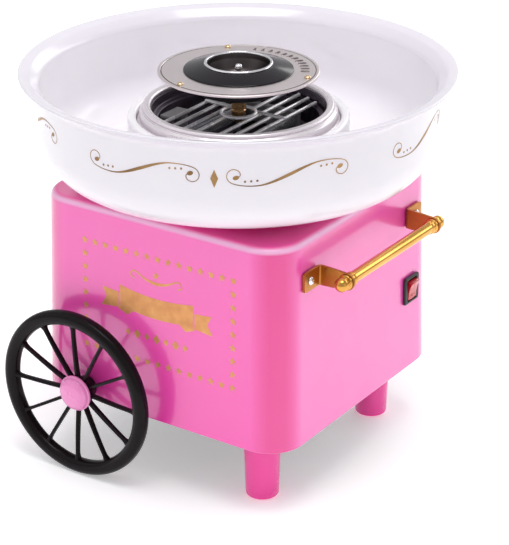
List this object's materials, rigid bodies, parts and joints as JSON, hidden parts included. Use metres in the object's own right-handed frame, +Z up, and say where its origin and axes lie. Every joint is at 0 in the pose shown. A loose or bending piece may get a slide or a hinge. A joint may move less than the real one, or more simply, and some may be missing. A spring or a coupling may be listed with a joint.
{
  "type": "cotton candy machine",
  "caption": "Table-top cotton candy machine shaped as a carnival cart: spinning sugar head over a heater well in a wide lift-off bowl, square body with spoked wheels, feet, handle and switch.",
  "frame": {"origin": "on the floor, under the sugar head's axis, which is the middle of the bowl", "axes": "+Z up along the head's axis, +X towards the end with the handle and switch, -Y towards the left wheel's side with the print"},
  "size_m": [0.3, 0.3, 0.281],
  "materials": {
    "pink_plastic": "glossy moulded pink plastic",
    "bowl_plastic": "glossy milky white plastic",
    "tower_metal": "spun and polished aluminium",
    "wheel_plastic": "semi-gloss black plastic",
    "black_plastic": "satin black plastic",
    "rubber": "matt black rubber",
    "plated_steel": "zinc-plated steel",
    "chrome": "bright chrome plate",
    "head_steel": "spun stainless steel, fine turning marks",
    "cone_enamel": "glossy black enamel",
    "pan_steel": "dark heat-resistant coating",
    "reflector": "bright rolled aluminium",
    "quartz": "clear quartz glass",
    "ceramic": "unglazed grey ceramic",
    "handle_brass": "polished lacquered brass",
    "brass": "plain machined brass",
    "rotor_iron": "laminated iron with enamelled windings",
    "red_switch": "glossy red plastic",
    "brown_insulation": "satin cable insulation",
    "blue_insulation": "satin cable insulation"
  },
  "bodies": {
    "body": {"housing_shell": "pink_plastic", "base_plate": "black_plastic", "base_screw_rear_left": "plated_steel", "base_screw_rear_right": "plated_steel", "base_screw_front_left": "plated_steel", "base_screw_front_right": "plated_steel", "foot_left": "pink_plastic", "foot_right": "pink_plastic", "foot_pad_left": "rubber", "foot_pad_right": "rubber", "axle": "plated_steel", "axle_clip_left": "plated_steel", "axle_clip_right": "plated_steel", "tower_collar": "tower_metal", "heater_well": "reflector", "quartz_tube_left": "quartz", "quartz_tube_right": "quartz", "tube_holder_left": "ceramic", "tube_holder_right": "ceramic", "heater_terminal": "ceramic", "thermal_cutout": "plated_steel", "wire_guard": "chrome", "motor_can": "plated_steel", "motor_end_cap": "black_plastic", "motor_bracket": "plated_steel", "bracket_screw_left": "plated_steel", "bracket_screw_right": "plated_steel", "handle_bracket_left": "handle_brass", "handle_bracket_right": "handle_brass", "handle_bar": "handle_brass", "handle_knob_left": "handle_brass", "handle_knob_right": "handle_brass", "handle_screw_left": "chrome", "handle_screw_right": "chrome", "switch_body": "black_plastic", "cord_inlet": "rubber", "terminal_block": "ceramic", "lead_switch_live": "brown_insulation", "lead_motor": "brown_insulation", "lead_heater": "blue_insulation"},
    "drive": {"motor_shaft": "plated_steel", "rotor": "rotor_iron", "cooling_fan": "black_plastic"},
    "head": {"spinner_disc": "head_steel", "spinner_cone": "cone_enamel", "mouth_ring": "chrome", "head_pan": "pan_steel", "rivet_1": "brass", "rivet_2": "brass", "rivet_3": "brass", "drive_coupling": "brass", "head_post": "plated_steel", "dome_nut": "chrome"},
    "wheel_left": {"wheel_left": "wheel_plastic", "hub_cap_left": "pink_plastic"},
    "wheel_right": {"wheel_right": "wheel_plastic", "hub_cap_right": "pink_plastic"},
    "bowl": {"bowl": "bowl_plastic"},
    "rocker": {"rocker": "red_switch"}
  },
  "joints": [
    {"name": "drive_spin", "type": "hinge", "parent": "body", "child": "drive", "pos_m": [0, 0, 0.15], "axis": [0, 0, 1], "continuous": true},
    {"name": "head_lift", "type": "slide", "parent": "drive", "child": "head", "axis": [0, 0, 1], "range_m": [0, 0.045]},
    {"name": "wheel_left_spin", "type": "hinge", "parent": "body", "child": "wheel_left", "pos_m": [-0.0566, -0.1194, 0.0617], "axis": [0, 1, 0], "continuous": true},
    {"name": "wheel_right_spin", "type": "hinge", "parent": "body", "child": "wheel_right", "pos_m": [-0.0566, 0.1194, 0.0617], "axis": [0, 1, 0], "continuous": true},
    {"name": "rocker_tilt", "type": "hinge", "parent": "body", "child": "rocker", "pos_m": [0.1036, 0.0652, 0.1123], "axis": [0, -1, 0], "range_deg": [0, 24]},
    {"name": "bowl_lift", "type": "slide", "parent": "body", "child": "bowl", "axis": [0, 0, 1], "range_m": [0, 0.12]}
  ]
}
